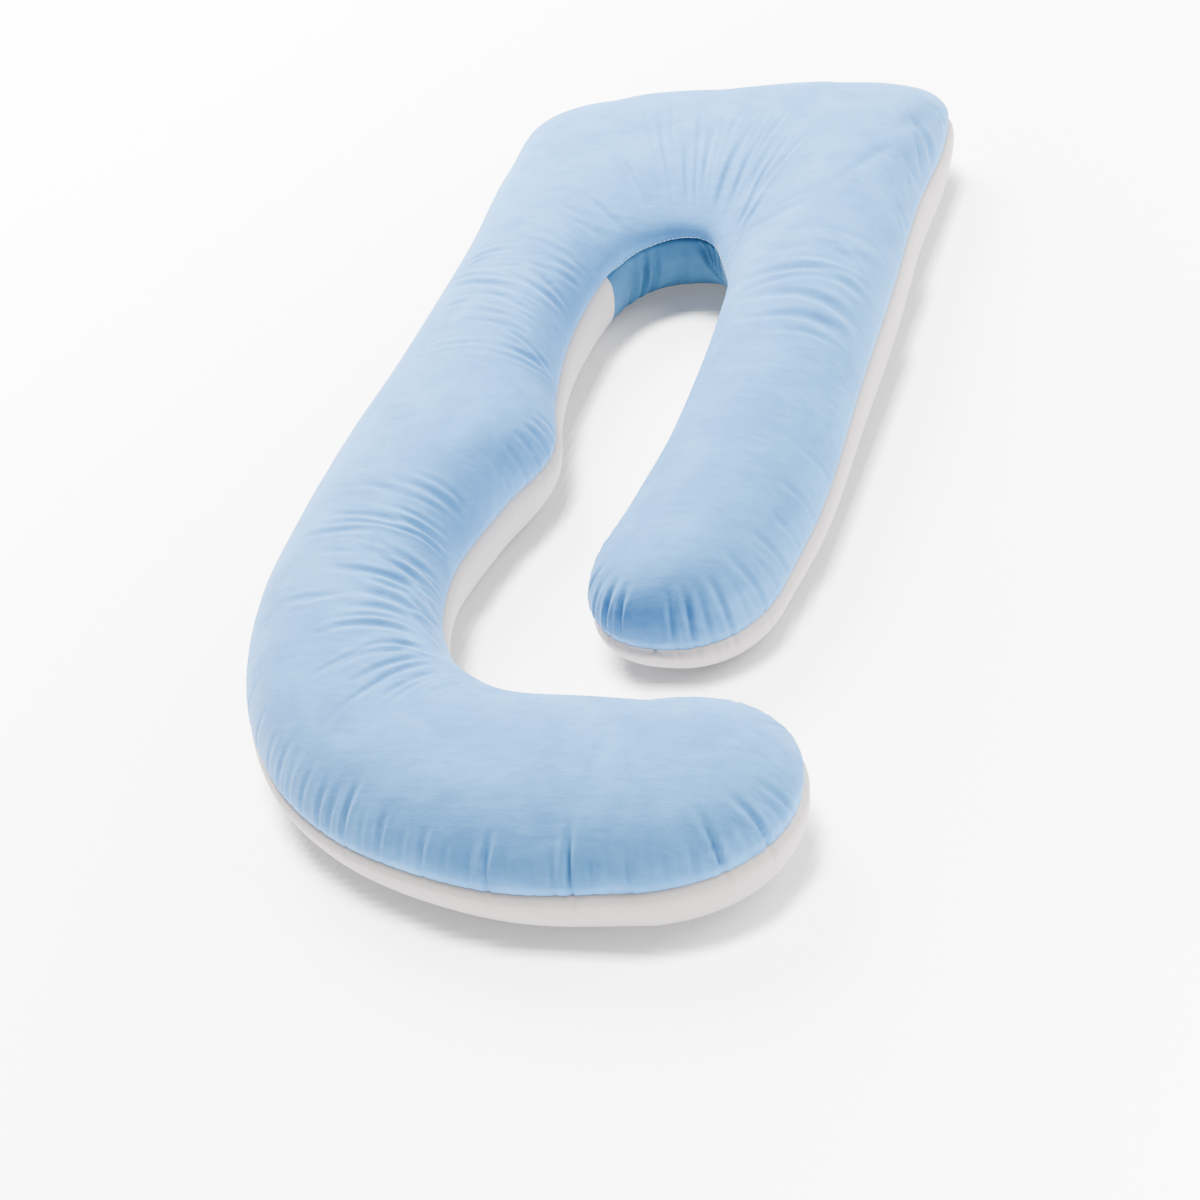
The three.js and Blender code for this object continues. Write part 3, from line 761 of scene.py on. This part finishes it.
def add_stitching(skin, places, material):
    """Short stitches laid along the velvet side of the crook's sewn edge."""
    length, gap, thick = STITCH
    chosen = (places > STITCHED[0]) & (places < STITCHED[1])
    seam = skin[chosen, FINE_GRID[1]]
    away = seam - skin[chosen, 0]
    away /= np.linalg.norm(away, axis=1, keepdims=True)
    path = seam + away * thick * STITCH_BESIDE + np.array([0, 0, thick * STITCH_ABOVE])
    run = np.concatenate([[0], np.cumsum(np.linalg.norm(np.diff(path, axis=0), axis=1))])
    vertices = []
    faces = []
    for start in np.arange(0, run[-1] - length, length + gap):
        stops = start + np.linspace(0, length, len(STITCH_SWELL))
        middle = np.stack([np.interp(stops, run, path[:, axis]) for axis in range(3)], -1)
        out = np.stack([np.interp(stops, run, away[:, axis]) for axis in range(3)], -1)
        base = len(vertices)
        for point, side, swell in zip(middle, out, STITCH_SWELL):
            for corner in range(STITCH_SIDES):
                angle = corner * 2 * math.pi / STITCH_SIDES
                offset = side * math.cos(angle) + np.array([0, 0, 1]) * math.sin(angle)
                vertices.append((point + offset * thick / 2 * swell) * MM)
        for ring in range(len(STITCH_SWELL) - 1):
            low = base + ring * STITCH_SIDES
            high = low + STITCH_SIDES
            for corner in range(STITCH_SIDES):
                after = (corner + 1) % STITCH_SIDES
                faces.append((low + corner, low + after, high + after, high + corner))
        top = base + (len(STITCH_SWELL) - 1) * STITCH_SIDES
        faces.append(tuple(base + corner for corner in reversed(range(STITCH_SIDES))))
        faces.append(tuple(top + corner for corner in range(STITCH_SIDES)))
    return add_mesh("crook_stitching", vertices, faces, material)


# Simulation.
def simulate(piece, held):
    """Fills the skin like a stuffed cover; held is how firmly each point stays. Moves in mm."""
    group = piece.vertex_groups.new(name="held")
    group.add(np.nonzero(held)[0].tolist(), 1.0, "REPLACE")
    before = np.empty(len(piece.data.vertices) * 3)
    piece.data.vertices.foreach_get("co", before)
    modifier = piece.modifiers.new("cloth", "CLOTH")
    settings = modifier.settings
    settings.quality = SIMULATED_QUALITY
    settings.mass = CLOTH_MASS
    settings.tension_stiffness = STRETCH
    settings.compression_stiffness = STRETCH
    settings.shear_stiffness = SHEAR
    settings.bending_stiffness = BENDING
    settings.use_pressure = True
    settings.uniform_pressure_force = PRESSURE
    settings.vertex_group_mass = "held"
    settings.effector_weights.gravity = 0
    modifier.collision_settings.use_collision = False
    modifier.point_cache.frame_start = 1
    modifier.point_cache.frame_end = SIMULATED_FRAMES
    scene = bpy.context.scene
    for step in range(1, SIMULATED_FRAMES + 1):
        scene.frame_set(step)
    graph = bpy.context.evaluated_depsgraph_get()
    filled = piece.evaluated_get(graph)
    after = np.empty(len(before))
    filled.to_mesh().vertices.foreach_get("co", after)
    filled.to_mesh_clear()
    scene.frame_set(1)
    return (after - before).reshape(-1, 3) / MM


def capped(move):
    """Moves made shorter, so that none is longer than the furthest one allowed."""
    length = np.linalg.norm(move, axis=-1, keepdims=True)
    return move * CAP * np.tanh(length / CAP) / np.maximum(length, 1e-9)


def resampled(values, old, new, axis):
    """Smooth curve through values at old places along an axis, read at the new places."""
    index = np.interp(new, old, np.arange(len(old)))
    moved = curve_along(np.moveaxis(values, axis, 0), index)
    return np.moveaxis(moved, 0, axis)


def curve_along(values, index):
    """Smooth curve through rows of values, at an array of places counted in rows."""
    low = np.clip(np.floor(index).astype(int), 0, len(values) - 2)
    t = (index - low).reshape((len(index),) + (1,) * (values.ndim - 1))
    a = values[np.maximum(low - 1, 0)]
    b = values[low]
    c = values[low + 1]
    d = values[np.minimum(low + 2, len(values) - 1)]
    return between(a, b, c, d, t)


def filling_moves(places, turns):
    """How the filling moves the skin, in mm, at the fine grid's places and turns."""
    coarse, coarse_places = skin_grid(*SIMULATED_GRID)
    upper_steps = SIMULATED_GRID[1]
    count, size = coarse.shape[:2]
    ends = tips(coarse, upper_steps)
    piece = add_tube("simulated_skin", coarse, ends, None)
    held = coarse[..., 2] < FLOOR_HELD
    held[:, 0] = True
    held[:, upper_steps] = True
    move = simulate(piece, np.append(held.ravel(), [True, True]))
    bpy.data.objects.remove(piece)
    move = capped(move[:-2]).reshape(count, size, 3)
    for _ in range(SMOOTHING):
        move = (np.roll(move, 1, axis=1) + 2 * move + np.roll(move, -1, axis=1)) / 4
        padded = np.concatenate([move[:1], move, move[-1:]])
        move = (padded[:-2] + 2 * move + padded[2:]) / 4
    old_turns = loop_turns(*SIMULATED_GRID[1:3])
    closed = np.concatenate([move, move[:, :1]], axis=1)
    closed = resampled(closed, np.append(old_turns, 2 * math.pi), turns, 1)
    return resampled(closed, coarse_places, places, 0)


# Materials.
def add_node(tree, kind, settings=None, inputs=None, links=None):
    """Adds a node, sets its properties and inputs, and links sockets into it."""
    node = tree.nodes.new(kind)
    for key, value in (settings or {}).items():
        setattr(node, key, value)
    for key, value in (inputs or {}).items():
        node.inputs[key].default_value = value
    for key, socket in (links or {}).items():
        tree.links.new(socket, node.inputs[key])
    return node


def new_material(name, base, roughness, sheen, sheen_colour):
    """A cloth-like material; returned with its nodes and its shader."""
    material = bpy.data.materials.new(name)
    material.use_nodes = True
    tree = material.node_tree
    shader = tree.nodes["Principled BSDF"]
    shader.inputs["Base Color"].default_value = linear(base)
    shader.inputs["Roughness"].default_value = roughness
    shader.inputs["Specular IOR Level"].default_value = 0.25
    shader.inputs["Sheen Weight"].default_value = sheen
    shader.inputs["Sheen Roughness"].default_value = 0.45
    shader.inputs["Sheen Tint"].default_value = linear(sheen_colour)
    return material, tree, shader


def velvet(name, light, dark, sheen):
    """Short-pile polyester velvet: matt with a soft sheen, and patches where the pile leans."""
    material, tree, shader = new_material(name, light, 0.85, sheen, "#dcebff")
    place = add_node(tree, "ShaderNodeTexCoord").outputs["Object"]
    cloud = add_node(
        tree, "ShaderNodeTexNoise",
        inputs={"Scale": scale_of(PATCH), "Detail": 4, "Roughness": 0.6, "Distortion": 0.6},
        links={"Vector": place},
    )
    brushed = add_node(
        tree, "ShaderNodeMapping",
        inputs={"Rotation": (0, 0, BRUSHED_TURN), "Scale": [scale_of(size) for size in STREAK]},
        links={"Vector": place},
    )
    streak = add_node(
        tree, "ShaderNodeTexNoise",
        inputs={"Scale": 1, "Detail": 3, "Roughness": 0.6, "Distortion": 0.5},
        links={"Vector": brushed.outputs["Vector"]},
    )
    both = add_node(
        tree, "ShaderNodeMath",
        settings={"operation": "MULTIPLY_ADD"},
        inputs={1: STREAK_IN_COLOUR},
        links={0: streak.outputs["Fac"], 2: cloud.outputs["Fac"]},
    )
    tint = add_node(tree, "ShaderNodeValToRGB", links={"Fac": both.outputs["Value"]})
    for stop, position, colour in zip(tint.color_ramp.elements, TINT_RANGE, (dark, light)):
        stop.position = position
        stop.color = linear(colour)
    tree.links.new(tint.outputs["Color"], shader.inputs["Base Color"])
    pile = add_node(
        tree, "ShaderNodeTexNoise",
        inputs={"Scale": scale_of(PILE), "Detail": 2},
        links={"Vector": place},
    )
    leaning = add_node(
        tree, "ShaderNodeMath",
        settings={"operation": "MULTIPLY_ADD"},
        inputs={1: STREAK_IN_RELIEF},
        links={0: streak.outputs["Fac"], 2: pile.outputs["Fac"]},
    )
    bump = add_node(
        tree, "ShaderNodeBump",
        inputs={"Strength": PILE_RELIEF, "Distance": MM},
        links={"Height": leaning.outputs["Value"]},
    )
    tree.links.new(bump.outputs["Normal"], shader.inputs["Normal"])
    return material


def brushed_cloth(name, base):
    """White brushed polyester: matt, with a soft nap that only breaks up the shading."""
    material, tree, shader = new_material(name, base, 0.9, 0.15, "#ffffff")
    place = add_node(tree, "ShaderNodeTexCoord").outputs["Object"]
    nap = add_node(
        tree, "ShaderNodeTexNoise",
        inputs={"Scale": scale_of(NAP), "Detail": 2},
        links={"Vector": place},
    )
    bump = add_node(
        tree, "ShaderNodeBump",
        inputs={"Strength": NAP_RELIEF, "Distance": MM},
        links={"Height": nap.outputs["Fac"]},
    )
    tree.links.new(bump.outputs["Normal"], shader.inputs["Normal"])
    return material


# Stage.
def add_camera():
    """The photograph's camera, placed over the floor point that it looks along."""
    rise_cos = math.cos(CAMERA_RISE)
    rise_sin = math.sin(CAMERA_RISE)
    turn_cos = math.cos(CAMERA_TURN)
    turn_sin = math.sin(CAMERA_TURN)

    def to_row(x, y):
        return Vector((x * turn_cos - y * turn_sin, x * turn_sin + y * turn_cos))

    spot = to_row(-CAMERA_SHIFT[0], -CAMERA_DISTANCE * rise_cos - CAMERA_SHIFT[1])
    right = to_row(1, 0).to_3d()
    ahead = to_row(0, 1)
    back = Vector((-ahead.x * rise_cos, -ahead.y * rise_cos, rise_sin))
    up = Vector((ahead.x * rise_sin, ahead.y * rise_sin, rise_cos))
    roll_cos = math.cos(CAMERA_ROLL)
    roll_sin = math.sin(CAMERA_ROLL)
    rolled_right = right * roll_cos - up * roll_sin
    rolled_up = right * roll_sin + up * roll_cos
    data = bpy.data.cameras.new("camera")
    data.sensor_width = SENSOR_WIDTH
    data.lens = SENSOR_WIDTH * CAMERA_FOCAL / FRAME_WIDTH
    data.clip_end = CAMERA_REACH
    camera = bpy.data.objects.new("camera", data)
    bpy.context.scene.collection.objects.link(camera)
    matrix = Matrix((rolled_right, rolled_up, back)).transposed().to_4x4()
    matrix.translation = Vector((
        (spot.x - CAMERA_CENTRE[0]) * MM,
        (spot.y - CAMERA_CENTRE[1]) * MM,
        CAMERA_DISTANCE * rise_sin * MM,
    ))
    camera.matrix_world = matrix
    bpy.context.scene.camera = camera


def height_map(line, points):
    """How high the pillow stands over each square of a grid with even lines, in metres."""
    step = line[1] - line[0]
    heights = np.zeros((len(line), len(line)))
    cell = np.round((points[..., :2].reshape(-1, 2) * MM - line[0]) / step).astype(int)
    np.maximum.at(heights, (cell[:, 0], cell[:, 1]), points[..., 2].ravel() * MM)
    return heights


def openness(line, heights):
    """How much of the sky each point of the floor sees past the pillow, from 0 to 1."""
    step = line[1] - line[0]
    rows, columns = np.meshgrid(np.arange(len(line)), np.arange(len(line)), indexing="ij")
    total = np.zeros(heights.shape)
    for angle in np.arange(SKY_DIRECTIONS) * 2 * math.pi / SKY_DIRECTIONS:
        slope = np.zeros(heights.shape)
        for reach in SKY_REACHES:
            row = np.round(rows + math.cos(angle) * reach / step).astype(int)
            column = np.round(columns + math.sin(angle) * reach / step).astype(int)
            row = np.clip(row, 0, len(line) - 1)
            column = np.clip(column, 0, len(line) - 1)
            slope = np.maximum(slope, heights[row, column] / reach)
        total += 1 / np.sqrt(1 + slope ** 2)
    return total / SKY_DIRECTIONS


def smoothed(values):
    """Each square of a map mixed with its neighbours."""
    padded = np.pad(values, 1, mode="edge")
    rows = (padded[:-2] + 2 * padded[1:-1] + padded[2:]) / 4
    return (rows[:, :-2] + 2 * rows[:, 1:-1] + rows[:, 2:]) / 4


def add_floor(points):
    """A pale floor that glows as painted light, kept in an attribute, with painted shadow where
    the pillow hides the sky.
    """
    fine = np.linspace(-FLOOR_FINE, FLOOR_FINE, FLOOR_STEPS)
    line = np.concatenate([[-FLOOR_HALF, -FLOOR_MIDDLE], fine, [FLOOR_MIDDLE, FLOOR_HALF]])
    heights = height_map(fine, points)
    open_part = np.where(heights > 0, 0, openness(fine, heights))
    for _ in range(PAINTED_SHADOW_SMOOTHING):
        open_part = smoothed(open_part)
    seen = np.ones((len(line), len(line)))
    seen[2:-2, 2:-2] = open_part
    x, y = np.meshgrid(line, line, indexing="ij")
    near = fade((seen - PAINTED_SHADOW_OPEN[0]) / (PAINTED_SHADOW_OPEN[1] - PAINTED_SHADOW_OPEN[0]))
    # The pillow is about twice as long as it is wide, and so is the glow round it.
    far = fade((np.hypot(x, y / 2) - PAINTED_GLOW_FAR[0]) / (PAINTED_GLOW_FAR[1] - PAINTED_GLOW_FAR[0]))
    # Painted light and shade: the glow is weak under and near the pillow as painted shadow, and
    # strongest far from it.
    strength = PAINTED_GLOW[0] + (PAINTED_GLOW[1] - PAINTED_GLOW[0]) * near + (PAINTED_GLOW[2] - PAINTED_GLOW[1]) * far
    size = len(line)
    corners = np.stack([x, y, np.full(x.shape, FLOOR_LEVEL)], -1).reshape(-1, 3)
    corner = (np.arange(size - 1)[:, None] * size + np.arange(size - 1)[None]).ravel()
    faces = np.stack([corner, corner + size, corner + size + 1, corner + 1], -1)
    # Matt painted board: no gloss. It glows by emission as painted light, weaker round the pillow
    # as painted shadow.
    material, tree, shader = new_material("glowing_floor_painted_shadow", "#c8c8c8", 0.9, 0, "#ffffff")
    shader.inputs["Specular IOR Level"].default_value = 0.1
    shader.inputs["Emission Color"].default_value = (1, 1, 1, 1)
    painted_glow_level = add_node(tree, "ShaderNodeAttribute", settings={"attribute_name": "glow"})
    tree.links.new(painted_glow_level.outputs["Fac"], shader.inputs["Emission Strength"])
    floor = add_mesh("floor", corners, faces.tolist(), material)
    glow = floor.data.attributes.new("glow", "FLOAT", "POINT")
    glow.data.foreach_set("value", strength.ravel())


def add_lamp(name, position, size, power):
    """A round soft lamp that shines on the middle of the floor."""
    data = bpy.data.lights.new(name, "AREA")
    data.shape = "DISK"
    data.size = size
    data.energy = power
    lamp = bpy.data.objects.new(name, data)
    lamp.location = position
    lamp.rotation_euler = (-Vector(position)).to_track_quat("-Z", "Y").to_euler()
    bpy.context.scene.collection.objects.link(lamp)


def add_world(colour, strength):
    """The even light from all round."""
    world = bpy.data.worlds.new("studio")
    world.use_nodes = True
    background = world.node_tree.nodes["Background"]
    background.inputs["Color"].default_value = linear(colour)
    background.inputs["Strength"].default_value = strength
    bpy.context.scene.world = world


def add_pillow():
    """Makes the pillow's pieces and returns the skin that they follow."""
    blue = velvet("blue_short_pile_velvet", light="#4b88be", dark="#3e78ae", sheen=0.16)
    # The crook piece's velvet is a darker copy of the upper velvet with less sheen: painted shade
    # for the crook's inside.
    painted_shade_blue = velvet(
        "blue_short_pile_velvet_painted_shade", light="#2c5c81", dark="#275578", sheen=0.05
    )
    white = brushed_cloth("white_brushed_cloth", "#a69f9d")
    # Light blue polyester sewing thread: smoother than the velvet, so it shows as a fine line.
    thread, _, _ = new_material("blue_sewing_thread", "#96bfde", 0.6, 0, "#ffffff")

    skin, places = skin_grid(*FINE_GRID)
    skin = skin + filling_moves(places, loop_turns(*FINE_GRID[1:3]))
    skin[..., 2] = np.maximum(skin[..., 2], 0)
    ends = tips(skin, FINE_GRID[1])
    crook_rings = np.searchsorted(places, [CROOK_START, CROOK_END])

    top = add_top(skin, ends, blue)
    underside = add_underside(skin, crook_rings, ends, white)
    crook = add_crook(skin, crook_rings, painted_shade_blue)
    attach(add_stitching(skin, places, thread), "root")
    for piece, node, slot in (
        (top, "top_panel", "blue_velvet"),
        (underside, "underside_panel", "white_cloth"),
        (crook, "crook_panel", "blue_lower_cloth"),
    ):
        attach(piece, "root")
        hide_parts(node)
    return skin


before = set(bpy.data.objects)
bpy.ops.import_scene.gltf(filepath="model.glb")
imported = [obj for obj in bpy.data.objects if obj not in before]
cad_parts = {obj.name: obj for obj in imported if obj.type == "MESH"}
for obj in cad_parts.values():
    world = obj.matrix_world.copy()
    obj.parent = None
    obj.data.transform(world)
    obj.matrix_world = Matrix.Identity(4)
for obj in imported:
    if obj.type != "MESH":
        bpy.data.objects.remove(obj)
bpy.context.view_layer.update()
pillow_skin = add_pillow()
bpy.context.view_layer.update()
add_floor(pillow_skin)
add_world(*SKY_LIGHT)
add_lamp("key", *KEY_LAMP)
add_lamp("fill", *FILL_LAMP)
add_camera()
